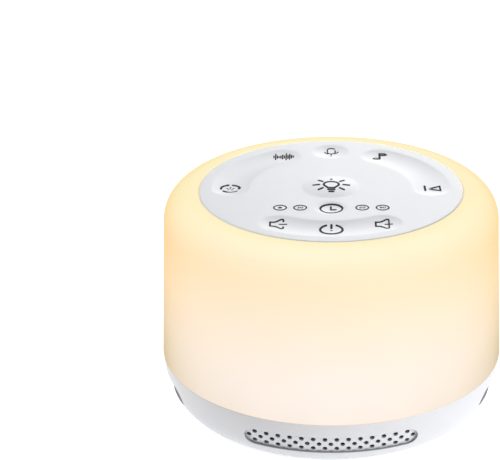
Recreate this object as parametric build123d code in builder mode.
from build123d import *
import os
from math import cos, radians, sin, sqrt, tan

os.makedirs("parts", exist_ok=True)

# A round bedside sound machine: a white base with a loudspeaker that fires
# down into it, a translucent night-light shade on top of the base, and a
# touch panel let into the top of the shade.  Z is up, the front is -Y, and
# the origin is under the middle of the object, where its feet stand.

# ------------------------------------------------------------------ base
base_height = 16.0          # from the underside of the base to the shade
base_shade_step = 0.2       # the shade stands out over the base wall
base_draft = 3.0            # degrees off vertical at the top of the wall
base_curve_radius = 24.8    # the wall tucks in on this radius
base_bottom_ring = 2.4      # underside left around the cover
base_wall = 2.2
base_edge_round = 0.8       # rounding where the wall meets the underside
cover_ledge_width = 2.0     # ring that stops the cover
cover_ledge_thickness = 1.5
deck_ledge_width = 2.0      # ring that carries the deck
deck_ledge_thickness = 1.5

# ---------------------------------------------------------------- grilles
grille_angles = (-90, 0, 90)   # about Z, from the front
grille_length = 54.0        # outline of each sunken grille, across it
grille_height = 6.1
grille_top_gap = 4.8        # from the top of the base down to the outline
grille_depth = 2.0          # the sunken face follows the wall at this depth
grille_thickness = 1.4
grille_reach = 20.0         # how far in from the wall the outline is cut
hole_radius = 0.65
hole_pitch = 3.64
hole_row_spacing = 1.4
hole_row_drop = 0.65        # the rows sit this far under the outline's middle
hole_counts = (14, 15, 14)  # from the bottom row up

# ----------------------------------------------------- underside and feet
cover_thickness = 2.0
cover_gap = 0.2             # radial play of the cover in its opening
foot_radius = 5.0
foot_thickness = 2.0
foot_proud = 1.0            # the feet stand out of the cover by this much
foot_gap = 0.1
foot_inset = 3.3            # from the edge of the cover to a foot
foot_count = 4
post_radius = 3.5           # posts that the cover is screwed to
post_gap = 0.5              # between the posts and the ring that stops the cover
post_count = 4
post_angle = 45             # of the first one

# ------------------------------------------------------------------- deck
deck_thickness = 2.0
deck_gap = 0.2              # radial play of the deck in its rebate
collar_height = 2.5         # ring on the deck that centres the shade
collar_width = 1.6
collar_gap = 0.3            # radial play of the shade on the ring
speaker_boss_drop = 2.0
wire_hole_radius = 2.0
wire_hole_gap = 0.6         # from the hole to the tower's wall
wire_hole_angle = 112.5

# ------------------------------------------------------------------ shade
shade_radius = 55.1         # outside radius of the body, where the shade meets the base
shade_height = 55.5         # from the base to the flat rim
shade_draft = 2.1           # degrees
shade_wall = 2.0
shade_shoulder = 9.1        # radius of the rounded shoulder
panel_seat_width = 2.6      # ledge under the edge of the panel
panel_seat_thickness = 2.0

# ------------------------------------------------------------ touch panel
panel_rim_width = 11.05     # from the top of the shade's wall, if square, to the panel
panel_gap = 0.25            # visible joint around the panel
panel_thickness = 2.6
panel_edge_round = 0.5
dish_radius = 6.0           # finger dishes on a circle near the edge
dish_depth = 0.5
dish_margin = 4.0           # from the dishes to the edge of the panel
centre_dome_radius = 9.1
centre_dome_height = 0.6
centre_dome_back = 1.1      # from the panel's middle towards the back
timer_dish_gap = 2.9        # from the centre dome to the timer's dish
timer_dish_radius = 5.1
timer_dish_depth = 0.3
timer_marks_x = (-15.9, -9.6, 9.6, 15.9)
single_key_angle = 90       # one key has a dish of its own
groove_angles = ((0, 60), (120, 180), (240, 300))  # from key to key
groove_middle_key = 270     # a third key half-way along the last groove
mic_hole_radius = 0.4
mic_hole_inset = 3.5        # from the middle of its dish, inwards
boss_gap = 6.0              # from the dishes inwards to the middle of the bosses
boss_radius = 2.75
boss_start_angle = 90
boss_count = 3

# ----------------------------------------------------------- touch board
board_thickness = 1.6
touch_board_gap = 1.3       # to the ledge around it
touch_pad_radius = 3.2
touch_gap = 1.5             # between the board and the panel
led_size = (1.6, 0.8, 0.6)
mic_radius = 2.0
mic_height = 1.0
boot_wall = 0.7

# ------------------------------------------------------- reflector tower
tower_taper = 4.0           # the tower is this much narrower at the top, in radius
tower_wall = 1.6
tower_top_thickness = 1.6
standoff_height = 1.4
tower_boss_radius = 2.8     # bosses inside the tower's foot
tower_boss_merge = 0.3      # they run into its wall by this much
tower_boss_height = 10.0
tower_boss_count = 4
tower_boss_angle = 67.5     # of the first one
notch_width = 3.0
notch_height = 3.2
light_lead_angle = 292.5
ribbon_slot_length = 10.0
ribbon_slot_width = 3.0
ribbon_slot_gap = 6.2       # from the main board's ring to the middle of the slot

# ----------------------------------------------------------- light ring
light_board_width = 11.0
light_board_play = 1.5      # around the tower's foot
light_board_gap = 1.2       # to the ring that centres the shade
light_board_thickness = 1.2
lamp_size = (5.0, 5.0, 1.5)
lamp_count = 16

# ------------------------------------------------------------ main board
main_board_clearance = 3.7  # above the loudspeaker
main_board_gap = 0.4        # play to the tower's bosses as the board goes in
main_shelf_width = 4.0      # ring over the board's edge that it is screwed to
main_shelf_thickness = 3.0
main_screw_inset = 2.0      # from the board's edge
main_screw_count = 4
capacitor_gap = 2.5         # to the ring
connector_gap = 1.5         # from the magnet out to the connectors
controller_size = (12.0, 12.0, 1.4)
amplifier_size = (6.0, 6.0, 1.2)
capacitor_radius = 3.15
capacitor_height = 7.7
connector_size = (7.0, 6.0, 4.6)

# --------------------------------------------------------------- speaker
gasket_thickness = 0.8
frame_radius = 25.0
frame_plate = 1.0           # pressed steel of the flange
frame_wall = 0.8
frame_depth = 10.0          # from the flange's front to the magnet
flange_width = 2.0
gasket_width = 2.4
frame_rib = 1.0             # left above, below and beside the skirt's windows
ear_offset = 1.0            # ears with screw holes, past the flange's edge
ear_radius = 3.2
ear_count = 4
window_angle = 45           # of the skirt's first window
surround_land = 1.8
surround_thickness = 0.4
surround_width = 3.4        # of the roll
cone_thickness = 0.5
surround_rim = 0.4
surround_gap = 0.2          # from the rolled edge to the deck's opening
pole_radius = 6.45
coil_gap = 0.3              # running clearance on each side of the coil
former_thickness = 0.25
winding_thickness = 0.4
winding_height = 5.0
front_plate_margin = 0.6    # in from the edge of the frame's seat
front_plate_thickness = 3.0
magnet_overhang = 2.0       # past the front plate
magnet_bore_gap = 1.0       # the magnet's bore is this much wider than the plate's
magnet_height = 7.0
back_plate_margin = 1.0     # in from the magnet's edge
back_plate_thickness = 2.5
cone_neck_gap = 0.4         # from the spider's wave down to the cone
cap_radius = 8.5
cap_height = 2.3
cap_thickness = 0.4
spider_thickness = 0.4
terminal_size = (4.0, 7.0, 1.0)
terminal_margin = 0.5       # of the frame's tab around it
terminal_angle = 202.5

# ---------------------------------------------------------- power socket
socket_width = 8.94
socket_height = 3.26
socket_depth = 7.35
socket_wall = 0.3
socket_back_wall = 1.0
socket_gap = 0.25           # between the socket and the base wall
tongue_width = 6.7
tongue_thickness = 0.7
socket_recess = 2.4         # the wall is cut back flat for the plug
socket_recess_width = 13.4
socket_recess_height = 7.4
socket_recess_corner = 2.0
socket_board_width = 16.0
socket_board_depth = 13.0
socket_board_thickness = 1.0
socket_board_gap = 1.2      # from the board to the wall
socket_shelf_thickness = 2.4
socket_screw_spacing = 11.0
socket_screw_inset = 3.0

# --------------------------------------------------------------- screws
head_radius = 2.2
head_height = 1.4
shank_radius = 1.1
screw_hole_radius = 1.4     # clearance hole
small_head_radius = 1.5
small_head_height = 1.0
small_shank_radius = 0.8
small_hole_radius = 1.0
screw_bite = 5.0            # length of shank in the piece that it holds

# ---------------------------------------------------------------- leads
lead_radius = 0.8
lead_bend = 4.0
ribbon_thickness = 0.3
ribbon_play = 2.0           # at each side of the ribbon in its slot
edge_break = 0.4            # small chamfers and roundings

# ------------------------------------------------- heights, from the table up
base_bottom = foot_proud
base_top = base_bottom + base_height
cover_top = base_bottom + cover_thickness
deck_bottom = base_top - deck_thickness
deck_top = base_top
shade_top = base_top + shade_height
panel_top = shade_top
panel_bottom = panel_top - panel_thickness
touch_board_top = panel_bottom - touch_gap
touch_board_bottom = touch_board_top - board_thickness
tower_top = touch_board_bottom - standoff_height
light_board_top = deck_top + light_board_thickness
frame_front = deck_top + gasket_thickness
frame_back = frame_front + frame_depth
flange_back = frame_front + frame_plate
front_plate_back = frame_back + front_plate_thickness
magnet_back = front_plate_back + magnet_height
speaker_back = magnet_back + back_plate_thickness
main_board_bottom = speaker_back + main_board_clearance
main_board_top = main_board_bottom + board_thickness

# ------------------------------------------- radii of what fits into what
base_top_radius = shade_radius - base_shade_step
curve_centre_x = base_top_radius - base_curve_radius * cos(radians(base_draft))
curve_centre_z = base_top + base_curve_radius * sin(radians(base_draft))


def base_radius(z, inset=0.0):
    """Radius of the base wall at a height, or of a surface that lies inside it."""
    curve = base_curve_radius - inset
    return curve_centre_x + sqrt(curve**2 - (z - curve_centre_z) ** 2)


shade_top_radius = shade_radius - shade_height * tan(radians(shade_draft))
panel_radius = shade_top_radius - panel_rim_width
cover_opening_radius = base_radius(base_bottom) - base_bottom_ring
cover_radius = cover_opening_radius - cover_gap
foot_circle = cover_radius - foot_inset - foot_radius
post_circle = cover_opening_radius - cover_ledge_width - post_gap - post_radius
deck_radius = shade_radius - shade_wall - collar_gap
rebate_radius = deck_radius + deck_gap
light_board_outer = deck_radius - collar_width - light_board_gap
light_board_inner = light_board_outer - light_board_width
tower_foot_radius = light_board_inner - light_board_play
tower_top_radius = tower_foot_radius - tower_taper
rim_radius = panel_radius + panel_gap
seat_radius = rim_radius - panel_seat_width
key_circle = panel_radius - dish_margin - dish_radius
timer_row = centre_dome_radius - centre_dome_back + timer_dish_gap + timer_dish_radius
boss_circle = key_circle - dish_radius - boss_gap
touch_board_radius = seat_radius - touch_board_gap
tower_boss_circle = tower_foot_radius - tower_wall - tower_boss_radius + tower_boss_merge
wire_hole_circle = tower_foot_radius - tower_wall - wire_hole_gap - wire_hole_radius
lamp_circle = (light_board_inner + light_board_outer) / 2
ear_circle = frame_radius + ear_offset
spider_seat = frame_back - 2 * frame_wall
skirt_foot_radius = frame_radius - flange_width
frame_seat_radius = skirt_foot_radius - (spider_seat - flange_back)
front_plate_radius = frame_seat_radius - front_plate_margin
magnet_radius = front_plate_radius + magnet_overhang
back_plate_radius = magnet_radius - back_plate_margin
land_outer = frame_radius - gasket_width
land_inner = land_outer - surround_land
cone_radius = land_inner - surround_width - surround_rim
speaker_opening_radius = land_inner + surround_rim + surround_gap
main_board_radius = tower_boss_circle - tower_boss_radius - main_board_gap
main_screw_circle = main_board_radius - main_screw_inset
shelf_inner = main_board_radius - main_shelf_width
capacitor_circle = shelf_inner - capacitor_gap - capacitor_radius
lead_circle = magnet_radius + connector_gap + connector_size[0] / 2
ribbon_row = shelf_inner - ribbon_slot_gap


def base_arc(z_low, z_high, inset=0.0):
    """Part of the wall's curve between two heights, in the XZ plane."""
    heights = (z_low, (z_low + z_high) / 2, z_high)
    return ThreePointArc(*[(base_radius(z, inset), z) for z in heights])


def polar(radius, angle):
    """A point in the XY plane."""
    return (radius * cos(radians(angle)), radius * sin(radians(angle)))


# ============================================================ base shell
# Grille outline, seen from the front: a long slot, extruded towards -Y.
grille_middle = base_top - grille_top_gap - grille_height / 2
grille_plane = Plane.XZ.offset(base_top_radius - grille_reach)


def inside_wall(inset, z_low=base_bottom, z_high=base_top):
    """Solid of revolution inside the base wall's curve, one inset in from it."""
    with BuildPart() as inside:
        with BuildSketch(Plane.XZ):
            with BuildLine():
                base_arc(z_low, z_high, inset)
                Polyline(
                    (base_radius(z_high, inset), z_high),
                    (0, z_high),
                    (0, z_low),
                    (base_radius(z_low, inset), z_low),
                )
            make_face()
        revolve(axis=Axis.Z)
    return inside.part


with BuildPart() as base_body:
    add(inside_wall(0))
    fillet(base_body.edges().group_by(Axis.Z)[0], base_edge_round)

with BuildPart() as grille_backing:
    with BuildSketch(grille_plane):
        with Locations((0, grille_middle)):
            SlotOverall(grille_length + 2 * grille_thickness, grille_height + 2 * grille_thickness)
    extrude(amount=grille_reach + base_wall)
    add(inside_wall(grille_depth + grille_thickness), mode=Mode.SUBTRACT)
    add(base_body.part, mode=Mode.INTERSECT)

with BuildPart() as grille_pocket:
    with BuildSketch(grille_plane):
        with Locations((0, grille_middle)):
            SlotOverall(grille_length, grille_height)
    extrude(amount=grille_reach + base_wall)
    add(inside_wall(grille_depth), mode=Mode.SUBTRACT)

with BuildPart() as grille_holes:
    with BuildSketch(grille_plane):
        for row, count in enumerate(hole_counts):
            row_height = grille_middle - hole_row_drop + (row - 1) * hole_row_spacing
            with Locations((0, row_height)):
                with GridLocations(hole_pitch, 0, count, 1):
                    Circle(hole_radius)
    extrude(amount=grille_reach + base_wall)

# Power socket, at the back: the wall is cut flat and backed by a block, and a
# shelf behind it carries the socket's board.
shelf_top = cover_top + socket_shelf_thickness
socket_board_top = shelf_top + socket_board_thickness
socket_z = socket_board_top + socket_height / 2
recess_y = base_radius(socket_z) - socket_recess
socket_front = recess_y - socket_gap
socket_back = socket_front - socket_depth
shelf_front = recess_y - base_wall
board_front = shelf_front - socket_board_gap
shelf_back = board_front - socket_board_depth
socket_screw_y = shelf_back + socket_screw_inset

with BuildPart() as socket_block:
    with BuildSketch(Plane.XY.offset(cover_top)):
        with Locations((0, shelf_front)):
            Rectangle(
                socket_recess_width + 2 * base_wall,
                3 * socket_recess + base_wall,
                align=(Align.CENTER, Align.MIN),
            )
    extrude(amount=deck_bottom - cover_top)
    add(base_body.part, mode=Mode.INTERSECT)

with BuildPart() as base_shell:
    add(base_body.part)
    # The cavity: the cover's opening, its ledge, the inside of the wall, the
    # deck's ledge and the rebate that the deck lies in.
    ledge_top = cover_top + cover_ledge_thickness
    wall_top = deck_bottom - deck_ledge_thickness
    with BuildSketch(Plane.XZ):
        with BuildLine():
            base_arc(ledge_top, wall_top, base_wall)
            Polyline(
                (base_radius(wall_top, base_wall), wall_top),
                (rebate_radius - deck_ledge_width, wall_top),
                (rebate_radius - deck_ledge_width, deck_bottom),
                (rebate_radius, deck_bottom),
                (rebate_radius, base_top),
                (0, base_top),
                (0, base_bottom),
                (cover_opening_radius, base_bottom),
                (cover_opening_radius, cover_top),
                (cover_opening_radius - cover_ledge_width, cover_top),
                (cover_opening_radius - cover_ledge_width, ledge_top),
                (base_radius(ledge_top, base_wall), ledge_top),
            )
        make_face()
    revolve(axis=Axis.Z, mode=Mode.SUBTRACT)
    for angle in grille_angles:
        add(grille_backing.part.rotate(Axis.Z, angle))
    add(socket_block.part)
    with BuildSketch(Plane.XY.offset(cover_top)):
        with Locations((0, shelf_back)):
            Rectangle(socket_board_width, recess_y - shelf_back, align=(Align.CENTER, Align.MIN))
    extrude(amount=socket_shelf_thickness)
    for angle in grille_angles:
        add(grille_pocket.part.rotate(Axis.Z, angle), mode=Mode.SUBTRACT)
        add(grille_holes.part.rotate(Axis.Z, angle), mode=Mode.SUBTRACT)
    with BuildSketch(Plane.XZ.offset(-recess_y)):
        with Locations((0, socket_z)):
            RectangleRounded(socket_recess_width, socket_recess_height, socket_recess_corner)
    extrude(amount=-3 * socket_recess, mode=Mode.SUBTRACT)
    with BuildSketch(Plane.XZ.offset(-shelf_front)):
        with Locations((0, socket_z)):
            SlotOverall(socket_width + 2 * socket_gap, socket_height + 2 * socket_gap)
    extrude(amount=-base_wall, mode=Mode.SUBTRACT)
    with BuildSketch(Plane.XY.offset(cover_top)):
        with Locations((0, socket_screw_y)):
            with GridLocations(socket_screw_spacing, 0, 2, 1):
                Circle(small_shank_radius)
    extrude(amount=socket_shelf_thickness, mode=Mode.SUBTRACT)
base_shell.part.label = "base_shell"
export_step(base_shell.part, "parts/base_shell.step")

# ==================================================== cover, feet, screws
screw_recess = head_height

with BuildPart() as bottom_cover:
    with BuildSketch(Plane.XY.offset(base_bottom)):
        Circle(cover_radius)
    extrude(amount=cover_thickness)
    # A low rib ring stiffens the plate between its posts.
    with BuildSketch(Plane.XY.offset(cover_top)):
        Circle(speaker_opening_radius + base_wall)
        Circle(speaker_opening_radius, mode=Mode.SUBTRACT)
    extrude(amount=cover_ledge_thickness)
    with BuildSketch(Plane.XY.offset(base_bottom)):
        with PolarLocations(foot_circle, foot_count):
            Circle(foot_radius + foot_gap)
    extrude(amount=foot_thickness - foot_proud, mode=Mode.SUBTRACT)
    with BuildSketch(Plane.XY.offset(base_bottom)):
        with PolarLocations(post_circle, post_count, start_angle=post_angle):
            Circle(head_radius + foot_gap)
    extrude(amount=screw_recess, mode=Mode.SUBTRACT)
    with BuildSketch(Plane.XY.offset(base_bottom)):
        with PolarLocations(post_circle, post_count, start_angle=post_angle):
            Circle(screw_hole_radius)
    extrude(amount=cover_thickness, mode=Mode.SUBTRACT)
bottom_cover.part.label = "bottom_cover"
export_step(bottom_cover.part, "parts/bottom_cover.step")

with BuildPart() as rubber_feet:
    with BuildSketch(Plane.XY):
        with PolarLocations(foot_circle, foot_count):
            Circle(foot_radius)
    extrude(amount=foot_thickness)
    chamfer(rubber_feet.edges().group_by(Axis.Z)[0], foot_proud / 3)
rubber_feet.part.label = "rubber_feet"
export_step(rubber_feet.part, "parts/rubber_feet.step")


def screws(seat, circle, count, start_angle, length, sizes):
    """Screws on a circle.  seat is the height under their heads, and length is
    measured from there, upwards (above zero) or downwards (below zero)."""
    screw_head_radius, screw_head_height, screw_shank_radius = sizes
    with BuildPart() as group:
        with BuildSketch(Plane.XY.offset(seat)):
            with PolarLocations(circle, count, start_angle=start_angle):
                Circle(screw_head_radius)
        extrude(amount=-screw_head_height if length > 0 else screw_head_height)
        with BuildSketch(Plane.XY.offset(seat)):
            with PolarLocations(circle, count, start_angle=start_angle):
                Circle(screw_shank_radius)
        extrude(amount=length)
    return group


large_screw = (head_radius, head_height, shank_radius)
small_screw = (small_head_radius, small_head_height, small_shank_radius)

cover_screw_seat = base_bottom + screw_recess
cover_screw_length = cover_top - cover_screw_seat + screw_bite
cover_screws = screws(cover_screw_seat, post_circle, post_count, post_angle, cover_screw_length, large_screw)
cover_screws.part.label = "cover_screws"
export_step(cover_screws.part, "parts/cover_screws.step")

# ================================================================== deck
with BuildPart() as chassis_deck:
    with BuildSketch(Plane.XY.offset(deck_bottom)):
        Circle(deck_radius)
    extrude(amount=deck_thickness)
    with BuildSketch(Plane.XY.offset(deck_top)):
        Circle(deck_radius)
        Circle(deck_radius - collar_width, mode=Mode.SUBTRACT)
    extrude(amount=collar_height)
    with BuildSketch(Plane.XY.offset(cover_top)):
        with PolarLocations(post_circle, post_count, start_angle=post_angle):
            Circle(post_radius)
    extrude(amount=deck_bottom - cover_top)
    with BuildSketch(Plane.XY.offset(deck_bottom)):
        with PolarLocations(ear_circle, ear_count):
            Circle(ear_radius)
    extrude(amount=-speaker_boss_drop)
    # openings for the loudspeaker and the wires
    with BuildSketch(Plane.XY.offset(deck_bottom - speaker_boss_drop)):
        Circle(speaker_opening_radius)
        with Locations(polar(wire_hole_circle, wire_hole_angle)):
            Circle(wire_hole_radius)
    extrude(amount=speaker_boss_drop + deck_thickness, mode=Mode.SUBTRACT)
    # pilot holes for the cover's screws and the loudspeaker's
    with BuildSketch(Plane.XY.offset(cover_top)):
        with PolarLocations(post_circle, post_count, start_angle=post_angle):
            Circle(shank_radius)
    extrude(amount=screw_bite, mode=Mode.SUBTRACT)
    with BuildSketch(Plane.XY.offset(deck_bottom - speaker_boss_drop)):
        with PolarLocations(ear_circle, ear_count):
            Circle(small_shank_radius)
    extrude(amount=speaker_boss_drop + deck_thickness, mode=Mode.SUBTRACT)
    # clearance holes for the tower's screws
    with BuildSketch(Plane.XY.offset(deck_bottom)):
        with PolarLocations(tower_boss_circle, tower_boss_count, start_angle=tower_boss_angle):
            Circle(screw_hole_radius)
    extrude(amount=deck_thickness, mode=Mode.SUBTRACT)
chassis_deck.part.label = "chassis_deck"
export_step(chassis_deck.part, "parts/chassis_deck.step")

# ================================================================= shade
# Half outline: a drafted wall, a round shoulder and a flat rim that ends at
# the panel; inside it the same line one wall in, and the panel's seat.
seat_top = panel_bottom
seat_bottom = seat_top - panel_seat_thickness


def shade_outline(inset):
    """Corners of the wall's outline, one inset in from the outside."""
    top = shade_top - inset
    return [(0, base_top), (shade_radius - inset, base_top), (shade_top_radius - inset, top), (0, top)]


with BuildPart() as shade:
    with BuildSketch(Plane.XZ) as outer_line:
        with BuildLine():
            Polyline(*shade_outline(0), close=True)
        make_face()
        fillet(outer_line.vertices().group_by(Axis.Y)[-1].sort_by(Axis.X)[-1], shade_shoulder)
    revolve(axis=Axis.Z)
    with BuildSketch(Plane.XZ) as inner_line:
        with BuildLine():
            Polyline(*shade_outline(shade_wall), close=True)
        make_face()
        fillet(inner_line.vertices().group_by(Axis.Y)[-1].sort_by(Axis.X)[-1], shade_shoulder - shade_wall)
    revolve(axis=Axis.Z, mode=Mode.SUBTRACT)
    with BuildSketch(Plane.XY.offset(seat_bottom)):
        Circle(rim_radius + shade_wall)
        Circle(seat_radius, mode=Mode.SUBTRACT)
    extrude(amount=shade_top - seat_bottom)
    with BuildSketch(Plane.XY.offset(seat_top)):
        Circle(rim_radius)
    extrude(amount=panel_thickness, mode=Mode.SUBTRACT)
shade.part.label = "diffuser_shade"
export_step(shade.part, "parts/diffuser_shade.step")

# =========================================================== touch panel
# Finger dishes are shallow slices of a ball, and a groove is the same slice
# turned about the panel's axis from one key to the next. The centre key is a
# low dome.


def ball_radius(rim, depth):
    """Radius of the ball for a dish, or a dome, of this rim and depth."""
    return (rim**2 + depth**2) / (2 * depth)


groove_ball = ball_radius(dish_radius, dish_depth)
dome_ball = ball_radius(centre_dome_radius, centre_dome_height)
timer_ball = ball_radius(timer_dish_radius, timer_dish_depth)
groove_centre_z = panel_top - dish_depth + groove_ball
groove_key_angles = [angle for groove in groove_angles for angle in groove]
outer_key_angles = [single_key_angle] + groove_key_angles
mic_hole_place = polar(key_circle - mic_hole_inset, single_key_angle)

with BuildPart() as top_panel:
    with BuildSketch(Plane.XY.offset(panel_bottom)):
        Circle(panel_radius)
    extrude(amount=panel_thickness)
    fillet(top_panel.edges().group_by(Axis.Z)[-1], panel_edge_round)
    with Locations([(*polar(key_circle, angle), groove_centre_z) for angle in outer_key_angles]):
        Sphere(groove_ball, mode=Mode.SUBTRACT)
    for start, end in groove_angles:
        across = Plane(origin=(0, 0, 0), x_dir=(*polar(1, start), 0), z_dir=(*polar(1, start - 90), 0))
        with BuildSketch(across):
            with Locations((key_circle, groove_centre_z)):
                Circle(groove_ball)
            with Locations((key_circle, panel_top)):
                Rectangle(2 * dish_radius, 2 * dish_depth, mode=Mode.INTERSECT)
        revolve(axis=Axis.Z, revolution_arc=end - start, mode=Mode.SUBTRACT)
    with BuildSketch(Plane(origin=(0, centre_dome_back, 0), x_dir=(1, 0, 0), z_dir=(0, -1, 0))):
        with Locations((0, panel_top + centre_dome_height - dome_ball)):
            Circle(dome_ball)
        with Locations((centre_dome_radius / 2, panel_top)):
            Rectangle(centre_dome_radius, 2 * centre_dome_height, mode=Mode.INTERSECT)
    revolve(axis=Axis((0, centre_dome_back, 0), (0, 0, 1)))
    with Locations((0, -timer_row, panel_top - timer_dish_depth + timer_ball)):
        Sphere(timer_ball, mode=Mode.SUBTRACT)
    # bosses on the underside, with pilot holes
    with BuildSketch(Plane.XY.offset(touch_board_top)):
        with PolarLocations(boss_circle, boss_count, start_angle=boss_start_angle):
            Circle(boss_radius)
    extrude(amount=touch_gap)
    with BuildSketch(Plane.XY.offset(touch_board_top)):
        with PolarLocations(boss_circle, boss_count, start_angle=boss_start_angle):
            Circle(small_shank_radius)
    extrude(amount=touch_gap + panel_thickness / 2, mode=Mode.SUBTRACT)
    with BuildSketch(Plane.XY.offset(panel_bottom)):
        with Locations(mic_hole_place):
            Circle(mic_hole_radius)
    extrude(amount=panel_thickness, mode=Mode.SUBTRACT)
top_panel.part.label = "top_panel"
export_step(top_panel.part, "parts/top_panel.step")

# =========================================================== touch board
key_places = [polar(key_circle, angle) for angle in groove_key_angles]
key_places += [polar(key_circle, groove_middle_key), (0, centre_dome_back), (0, -timer_row)]

with BuildPart() as touch_board:
    with BuildSketch(Plane.XY.offset(touch_board_bottom)):
        Circle(touch_board_radius)
        with PolarLocations(boss_circle, boss_count, start_angle=boss_start_angle):
            Circle(small_hole_radius, mode=Mode.SUBTRACT)
    extrude(amount=board_thickness)
touch_board.part.label = "touch_board"
export_step(touch_board.part, "parts/touch_board.step")

with BuildPart() as touch_pads:
    with BuildSketch(Plane.XY.offset(touch_board_top)):
        with Locations(key_places):
            Circle(touch_pad_radius)
    extrude(amount=touch_gap)
touch_pads.part.label = "touch_pads"
export_step(touch_pads.part, "parts/touch_pads.step")

with BuildPart() as timer_leds:
    with BuildSketch(Plane.XY.offset(touch_board_top)):
        with Locations([(x, -timer_row) for x in timer_marks_x]):
            Rectangle(led_size[0], led_size[1])
    extrude(amount=led_size[2])
timer_leds.part.label = "timer_leds"
export_step(timer_leds.part, "parts/timer_leds.step")

with BuildPart() as microphone:
    with BuildSketch(Plane.XY.offset(touch_board_top)):
        with Locations(mic_hole_place):
            Circle(mic_radius)
    extrude(amount=mic_height)
microphone.part.label = "microphone"
export_step(microphone.part, "parts/microphone.step")

with BuildPart() as microphone_boot:
    with BuildSketch(Plane.XY.offset(touch_board_top)):
        with Locations(mic_hole_place):
            Circle(mic_radius + boot_wall)
    extrude(amount=touch_gap)
    with BuildSketch(Plane.XY.offset(touch_board_top)):
        with Locations(mic_hole_place):
            Circle(mic_radius)
    extrude(amount=mic_height, mode=Mode.SUBTRACT)
    with BuildSketch(Plane.XY.offset(touch_board_top + mic_height)):
        with Locations(mic_hole_place):
            Circle(mic_hole_radius)
    extrude(amount=touch_gap - mic_height, mode=Mode.SUBTRACT)
microphone_boot.part.label = "microphone_boot"
export_step(microphone_boot.part, "parts/microphone_boot.step")

# ====================================================== reflector tower
tower_height = tower_top - deck_top
tower_slope = (tower_foot_radius - tower_top_radius) / tower_height


def tower_radius(z):
    """Outside radius of the tower at a height."""
    return tower_foot_radius - tower_slope * (z - deck_top)


shelf_bottom = main_board_top
shelf_top_side = shelf_bottom + main_shelf_thickness
ceiling = tower_top - tower_top_thickness

with BuildPart() as reflector_tower:
    with BuildSketch(Plane.XZ):
        with BuildLine():
            Polyline(
                (tower_foot_radius, deck_top),
                (tower_top_radius, tower_top),
                (0, tower_top),
                (0, ceiling),
                (tower_radius(ceiling) - tower_wall, ceiling),
                (tower_radius(shelf_top_side) - tower_wall, shelf_top_side),
                (shelf_inner, shelf_top_side),
                (shelf_inner, shelf_bottom),
                (tower_radius(shelf_bottom) - tower_wall, shelf_bottom),
                (tower_foot_radius - tower_wall, deck_top),
                close=True,
            )
        make_face()
    revolve(axis=Axis.Z)
    # standoffs under the touch board
    with BuildSketch(Plane.XY.offset(tower_top)):
        with PolarLocations(boss_circle, boss_count, start_angle=boss_start_angle):
            Circle(boss_radius)
    extrude(amount=standoff_height)
    with BuildSketch(Plane.XY.offset(ceiling)):
        with PolarLocations(boss_circle, boss_count, start_angle=boss_start_angle):
            Circle(small_hole_radius)
        with Locations((0, -ribbon_row)):
            Rectangle(ribbon_slot_length, ribbon_slot_width)
    extrude(amount=tower_top_thickness + standoff_height, mode=Mode.SUBTRACT)
    # bosses for the deck's screws
    with BuildSketch(Plane.XY.offset(deck_top)):
        with PolarLocations(tower_boss_circle, tower_boss_count, start_angle=tower_boss_angle):
            Circle(tower_boss_radius)
    extrude(amount=tower_boss_height)
    with BuildSketch(Plane.XY.offset(deck_top)):
        with PolarLocations(tower_boss_circle, tower_boss_count, start_angle=tower_boss_angle):
            Circle(shank_radius)
    extrude(amount=screw_bite, mode=Mode.SUBTRACT)
    with BuildSketch(Plane.XY.offset(shelf_bottom)):
        with PolarLocations(main_screw_circle, main_screw_count, start_angle=tower_boss_angle):
            Circle(small_shank_radius)
    extrude(amount=main_shelf_thickness, mode=Mode.SUBTRACT)
    # a notch in the foot for the light ring's lead
    with BuildSketch(Plane.XY.offset(deck_top)):
        with PolarLocations(tower_foot_radius, 1, start_angle=light_lead_angle):
            Rectangle(4 * tower_wall, notch_width)
    extrude(amount=notch_height, mode=Mode.SUBTRACT)
reflector_tower.part.label = "reflector_tower"
export_step(reflector_tower.part, "parts/reflector_tower.step")

tower_screw_length = deck_thickness + screw_bite
tower_screws = screws(
    deck_bottom, tower_boss_circle, tower_boss_count, tower_boss_angle, tower_screw_length, large_screw
)
tower_screws.part.label = "tower_screws"
export_step(tower_screws.part, "parts/tower_screws.step")

panel_screw_length = touch_board_top - ceiling + touch_gap + panel_thickness / 2
panel_screws = screws(ceiling, boss_circle, boss_count, boss_start_angle, panel_screw_length, small_screw)
panel_screws.part.label = "panel_screws"
export_step(panel_screws.part, "parts/panel_screws.step")

# ============================================================ light ring
with BuildPart() as light_board:
    with BuildSketch(Plane.XY.offset(deck_top)):
        Circle(light_board_outer)
        Circle(light_board_inner, mode=Mode.SUBTRACT)
    extrude(amount=light_board_thickness)
light_board.part.label = "light_board"
export_step(light_board.part, "parts/light_board.step")

with BuildPart() as night_light_leds:
    with BuildSketch(Plane.XY.offset(light_board_top)):
        with PolarLocations(lamp_circle, lamp_count):
            Rectangle(lamp_size[0], lamp_size[1])
    extrude(amount=lamp_size[2])
night_light_leds.part.label = "night_light_leds"
export_step(night_light_leds.part, "parts/night_light_leds.step")

# ============================================================ main board
# It hangs under the tower's shelf, with its tall parts on top and the
# connectors for the leads underneath.
with BuildPart() as main_board:
    with BuildSketch(Plane.XY.offset(main_board_bottom)):
        Circle(main_board_radius)
        with PolarLocations(main_screw_circle, main_screw_count, start_angle=tower_boss_angle):
            Circle(small_hole_radius, mode=Mode.SUBTRACT)
    extrude(amount=board_thickness)
main_board.part.label = "main_board"
export_step(main_board.part, "parts/main_board.step")

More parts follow.
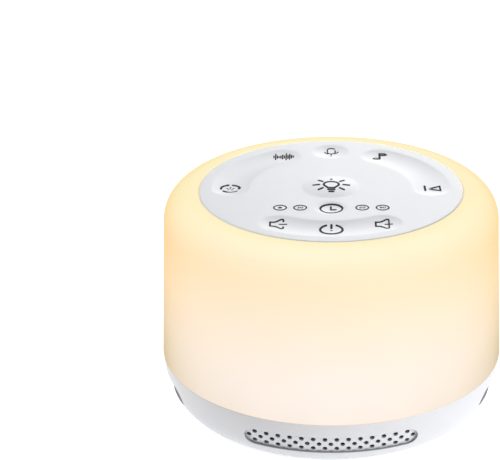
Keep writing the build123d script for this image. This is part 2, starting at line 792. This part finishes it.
main_screw_length = board_thickness + main_shelf_thickness
main_board_screws = screws(
    main_board_bottom, main_screw_circle, main_screw_count, tower_boss_angle, main_screw_length, small_screw
)
main_board_screws.part.label = "main_board_screws"
export_step(main_board_screws.part, "parts/main_board_screws.step")

with BuildPart() as controller_chip:
    with BuildSketch(Plane.XY.offset(main_board_top)):
        Rectangle(controller_size[0], controller_size[1])
    extrude(amount=controller_size[2])
    chamfer(controller_chip.edges().group_by(Axis.Z)[-1], edge_break)
controller_chip.part.label = "controller_chip"
export_step(controller_chip.part, "parts/controller_chip.step")

with BuildPart() as amplifier_chip:
    with BuildSketch(Plane.XY.offset(main_board_top)):
        with Locations(polar(controller_size[0] + amplifier_size[0] / 2, 150)):
            Rectangle(amplifier_size[0], amplifier_size[1])
    extrude(amount=amplifier_size[2])
amplifier_chip.part.label = "amplifier_chip"
export_step(amplifier_chip.part, "parts/amplifier_chip.step")

with BuildPart() as capacitors:
    with BuildSketch(Plane.XY.offset(main_board_top)):
        with Locations(polar(capacitor_circle, 20), polar(capacitor_circle, 45)):
            Circle(capacitor_radius)
    extrude(amount=capacitor_height)
    fillet(capacitors.edges().group_by(Axis.Z)[-1], edge_break)
capacitors.part.label = "capacitors"
export_step(capacitors.part, "parts/capacitors.step")

with BuildPart() as board_connectors:
    with BuildSketch(Plane.XY.offset(main_board_bottom)):
        for angle in (wire_hole_angle, terminal_angle, light_lead_angle):
            with PolarLocations(lead_circle, 1, start_angle=angle):
                Rectangle(connector_size[0], connector_size[1])
    extrude(amount=-connector_size[2])
    with BuildSketch(Plane.XY.offset(main_board_top)):
        with Locations((0, -ribbon_row)):
            Rectangle(ribbon_slot_length, connector_size[1])
    extrude(amount=connector_size[2])
board_connectors.part.label = "board_connectors"
export_step(board_connectors.part, "parts/board_connectors.step")

# =============================================================== speaker
# It faces down and stands on its gasket, on the deck.
former_inner = pole_radius + coil_gap
former_outer = former_inner + former_thickness
winding_outer = former_outer + winding_thickness
plate_bore = winding_outer + coil_gap
spider_front = spider_seat - spider_thickness
neck_front = spider_front - spider_thickness - cone_neck_gap - cone_thickness
edge_front = frame_front + surround_thickness
cone_slope = (neck_front - edge_front) / (cone_radius - former_outer)

with BuildPart() as speaker_gasket:
    with BuildSketch(Plane.XY.offset(deck_top)):
        Circle(frame_radius)
        Circle(land_outer, mode=Mode.SUBTRACT)
    extrude(amount=gasket_thickness)
speaker_gasket.part.label = "speaker_gasket"
export_step(speaker_gasket.part, "parts/speaker_gasket.step")

skirt = frame_wall * sqrt(2)
spider_land = 3 * frame_wall

with BuildPart() as speaker_frame:
    with BuildSketch(Plane.XZ):
        with BuildLine():
            Polyline(
                (land_outer, frame_front),
                (frame_radius, frame_front),
                (frame_radius, flange_back),
                (skirt_foot_radius, flange_back),
                (frame_seat_radius, spider_seat),
                (frame_seat_radius, frame_back),
                (plate_bore, frame_back),
                (plate_bore, frame_back - frame_wall),
                (frame_seat_radius - spider_land, frame_back - frame_wall),
                (frame_seat_radius - spider_land, spider_seat),
                (frame_seat_radius - skirt, spider_seat),
                (skirt_foot_radius - skirt, flange_back),
                (land_inner, flange_back),
                (land_inner, frame_front + surround_thickness),
                (land_outer, frame_front + surround_thickness),
                close=True,
            )
        make_face()
    revolve(axis=Axis.Z)
    with BuildSketch(Plane.XY.offset(frame_front)):
        with PolarLocations(ear_circle, ear_count):
            Circle(ear_radius)
        with PolarLocations(frame_radius, 1, start_angle=terminal_angle):
            Rectangle(terminal_size[0] + 2 * terminal_margin, terminal_size[1])
        Circle(land_outer, mode=Mode.SUBTRACT)
    extrude(amount=frame_plate)
    with BuildSketch(Plane.XY.offset(frame_front)):
        with PolarLocations(ear_circle, ear_count):
            Circle(small_hole_radius)
    extrude(amount=frame_plate, mode=Mode.SUBTRACT)
    # windows in the skirt, clear of the ears
    with BuildSketch(Plane.XY.offset(flange_back)):
        with PolarLocations((frame_seat_radius + skirt_foot_radius) / 2, ear_count, start_angle=window_angle):
            Rectangle(skirt_foot_radius - frame_seat_radius - 2 * frame_rib, frame_seat_radius)
    extrude(amount=spider_seat - flange_back - frame_rib, mode=Mode.SUBTRACT)
speaker_frame.part.label = "speaker_frame"
export_step(speaker_frame.part, "parts/speaker_frame.step")

with BuildPart() as front_plate:
    with BuildSketch(Plane.XY.offset(frame_back)):
        Circle(front_plate_radius)
        Circle(plate_bore, mode=Mode.SUBTRACT)
    extrude(amount=front_plate_thickness)
front_plate.part.label = "speaker_front_plate"
export_step(front_plate.part, "parts/speaker_front_plate.step")

with BuildPart() as magnet:
    with BuildSketch(Plane.XY.offset(front_plate_back)):
        Circle(magnet_radius)
        Circle(plate_bore + magnet_bore_gap, mode=Mode.SUBTRACT)
    extrude(amount=magnet_height)
    chamfer(magnet.edges().group_by(Axis.Z)[-1].sort_by(SortBy.LENGTH)[-1], edge_break)
magnet.part.label = "speaker_magnet"
export_step(magnet.part, "parts/speaker_magnet.step")

with BuildPart() as yoke:
    with BuildSketch(Plane.XY.offset(magnet_back)):
        Circle(back_plate_radius)
    extrude(amount=back_plate_thickness)
    with BuildSketch(Plane.XY.offset(magnet_back)):
        Circle(pole_radius)
    extrude(amount=-(magnet_back - frame_back))
yoke.part.label = "speaker_yoke"
export_step(yoke.part, "parts/speaker_yoke.step")

speaker_screw_length = flange_back - deck_bottom + speaker_boss_drop
speaker_screws = screws(flange_back, ear_circle, ear_count, 0, -speaker_screw_length, small_screw)
speaker_screws.part.label = "speaker_screws"
export_step(speaker_screws.part, "parts/speaker_screws.step")

with BuildPart() as speaker_terminal:
    with BuildSketch(Plane.XY.offset(flange_back)):
        with PolarLocations(frame_radius, 1, start_angle=terminal_angle):
            Rectangle(terminal_size[0], terminal_size[1])
    extrude(amount=terminal_size[2])
speaker_terminal.part.label = "speaker_terminal"
export_step(speaker_terminal.part, "parts/speaker_terminal.step")

# The moving part: cone, dust cap, coil former and winding.
with BuildPart() as cone:
    with BuildSketch(Plane.XZ):
        with BuildLine():
            Polyline(
                (former_outer, neck_front),
                (cone_radius, edge_front),
                (cone_radius, edge_front + cone_thickness),
                (former_outer, neck_front + cone_thickness),
                close=True,
            )
        make_face()
    revolve(axis=Axis.Z)
cone.part.label = "speaker_cone"
export_step(cone.part, "parts/speaker_cone.step")

cap_edge = neck_front - cone_slope * (cap_radius - former_outer)
cap_ball = ball_radius(cap_radius, cap_height)

with BuildPart() as dust_cap:
    with Locations((0, 0, cap_edge - cap_height + cap_ball)):
        Sphere(cap_ball)
        Sphere(cap_ball - cap_thickness, mode=Mode.SUBTRACT)
    split(bisect_by=Plane.XY.offset(cap_edge), keep=Keep.BOTTOM)
dust_cap.part.label = "dust_cap"
export_step(dust_cap.part, "parts/dust_cap.step")

winding_middle = frame_back + front_plate_thickness / 2
winding_low = winding_middle - winding_height / 2
former_top = winding_low + winding_height + former_thickness

with BuildPart() as coil_former:
    with BuildSketch(Plane.XY.offset(neck_front)):
        Circle(former_outer)
        Circle(former_inner, mode=Mode.SUBTRACT)
    extrude(amount=former_top - neck_front)
coil_former.part.label = "coil_former"
export_step(coil_former.part, "parts/coil_former.step")

with BuildPart() as coil_winding:
    with BuildSketch(Plane.XY.offset(winding_low)):
        Circle(winding_outer)
        Circle(former_outer, mode=Mode.SUBTRACT)
    extrude(amount=winding_height)
coil_winding.part.label = "coil_winding"
export_step(coil_winding.part, "parts/coil_winding.step")

# The two springs that carry it: the rolled edge and the spider.
roll_inner = cone_radius + surround_rim
roll_outer = land_inner
roll_middle = (roll_inner + roll_outer) / 2
roll_radius = (roll_outer - roll_inner) / 2

with BuildPart() as surround:
    with BuildSketch(Plane.XZ):
        with BuildLine():
            Polyline(
                (cone_radius, frame_front),
                (cone_radius, edge_front + cone_thickness),
                (roll_inner, edge_front + cone_thickness),
                (roll_inner, edge_front),
            )
            ThreePointArc(
                (roll_inner, edge_front),
                (roll_middle, edge_front - roll_radius),
                (roll_outer, edge_front),
            )
            Polyline(
                (roll_outer, edge_front),
                (land_outer, edge_front),
                (land_outer, frame_front),
                (roll_outer + surround_rim, frame_front),
            )
            ThreePointArc(
                (roll_outer + surround_rim, frame_front),
                (roll_middle, edge_front - roll_radius - surround_thickness),
                (cone_radius, frame_front),
            )
        make_face()
    revolve(axis=Axis.Z)
surround.part.label = "speaker_surround"
export_step(surround.part, "parts/speaker_surround.step")

spider_outer = frame_seat_radius - skirt
spider_wave = (spider_outer - former_outer) / 4

with BuildPart() as spider:
    with BuildSketch(Plane.XZ):
        with BuildLine():
            Polyline(
                (former_outer, spider_front),
                (former_outer + spider_wave, spider_front - spider_thickness),
                (former_outer + 2 * spider_wave, spider_front),
                (spider_outer, spider_front),
                (spider_outer, spider_seat),
                (former_outer + 2 * spider_wave, spider_seat),
                (former_outer + spider_wave, spider_front),
                (former_outer, spider_seat),
                close=True,
            )
        make_face()
    revolve(axis=Axis.Z)
spider.part.label = "speaker_spider"
export_step(spider.part, "parts/speaker_spider.step")

# ========================================================== power socket
with BuildPart() as power_socket:
    with BuildSketch(Plane.XZ.offset(-socket_front)):
        with Locations((0, socket_z)):
            SlotOverall(socket_width, socket_height)
    extrude(amount=socket_depth)
    with BuildSketch(Plane.XZ.offset(-socket_front)):
        with Locations((0, socket_z)):
            SlotOverall(socket_width - 2 * socket_wall, socket_height - 2 * socket_wall)
    extrude(amount=socket_depth - socket_back_wall, mode=Mode.SUBTRACT)
    with BuildSketch(Plane.XZ.offset(-socket_back)):
        with Locations((0, socket_z)):
            Rectangle(tongue_width, tongue_thickness)
    extrude(amount=-(socket_depth - socket_back_wall))
power_socket.part.label = "power_socket"
export_step(power_socket.part, "parts/power_socket.step")

with BuildPart() as socket_board:
    with BuildSketch(Plane.XY.offset(shelf_top)):
        with Locations((0, shelf_back)):
            Rectangle(socket_board_width, socket_board_depth, align=(Align.CENTER, Align.MIN))
        with Locations((0, socket_screw_y)):
            with GridLocations(socket_screw_spacing, 0, 2, 1):
                Circle(small_hole_radius, mode=Mode.SUBTRACT)
    extrude(amount=socket_board_thickness)
socket_board.part.label = "socket_board"
export_step(socket_board.part, "parts/socket_board.step")

with BuildPart() as socket_screws:
    with BuildSketch(Plane.XY.offset(socket_board_top)):
        with Locations((0, socket_screw_y)):
            with GridLocations(socket_screw_spacing, 0, 2, 1):
                Circle(small_head_radius)
    extrude(amount=small_head_height)
    with BuildSketch(Plane.XY.offset(socket_board_top)):
        with Locations((0, socket_screw_y)):
            with GridLocations(socket_screw_spacing, 0, 2, 1):
                Circle(small_shank_radius)
    extrude(amount=-(socket_board_thickness + socket_shelf_thickness))
socket_screws.part.label = "socket_screws"
export_step(socket_screws.part, "parts/socket_screws.step")

# ================================================================= leads
# Sheathed leads between the boards, as straight runs joined by arcs.


def lead(points, bends):
    """A round lead swept along its route."""
    with BuildPart() as run:
        with BuildLine():
            route = FilletPolyline(*points, radius=bends)
        with BuildSketch(Plane(origin=route @ 0, z_dir=route % 0)):
            Circle(lead_radius)
        sweep()
    return run


lead_entry = main_board_bottom - connector_size[2]


def climb(angle, circle, start_z):
    """Route up inside the tower and into a connector under the main board."""
    return [
        (*polar(circle, angle), start_z),
        (*polar(circle, angle), lead_entry - 3 * lead_bend),
        (*polar(lead_circle, angle), lead_entry - lead_bend),
        (*polar(lead_circle, angle), lead_entry),
    ]


speaker_leads = lead(climb(terminal_angle, frame_radius, flange_back + terminal_size[2]), lead_bend)
speaker_leads.part.label = "speaker_leads"
export_step(speaker_leads.part, "parts/speaker_leads.step")

# The power lead runs from its board to the point under the wire hole and
# climbs through the deck.
power_run_z = socket_board_top + lead_radius
power_start = (0, shelf_back + lead_radius, power_run_z)
under_hole = (*polar(wire_hole_circle, wire_hole_angle), power_run_z)
power_points = [power_start, under_hole] + climb(wire_hole_angle, wire_hole_circle, deck_top)[1:]
power_leads = lead(power_points, lead_bend)
power_leads.part.label = "power_leads"
export_step(power_leads.part, "parts/power_leads.step")

# The light ring's lead lies on its board, goes in through the tower's notch
# and climbs beside the loudspeaker.
light_run_z = light_board_top + lead_radius
light_turn_circle = ear_circle + ear_radius
light_start = (*polar(light_board_inner + 2 * lead_radius, light_lead_angle), light_run_z)
light_leads = lead([light_start] + climb(light_lead_angle, light_turn_circle, light_run_z), lead_bend)
light_leads.part.label = "light_leads"
export_step(light_leads.part, "parts/light_leads.step")

# Flat ribbon between the main board and the touch board.
ribbon_width = ribbon_slot_length - 2 * ribbon_play
ribbon_foot = main_board_top + connector_size[2]

with BuildPart() as touch_ribbon:
    with BuildSketch(Plane.XY.offset(ribbon_foot)):
        with Locations((0, -ribbon_row)):
            Rectangle(ribbon_width, ribbon_thickness)
    extrude(amount=touch_board_bottom - ribbon_foot)
touch_ribbon.part.label = "touch_ribbon"
export_step(touch_ribbon.part, "parts/touch_ribbon.step")
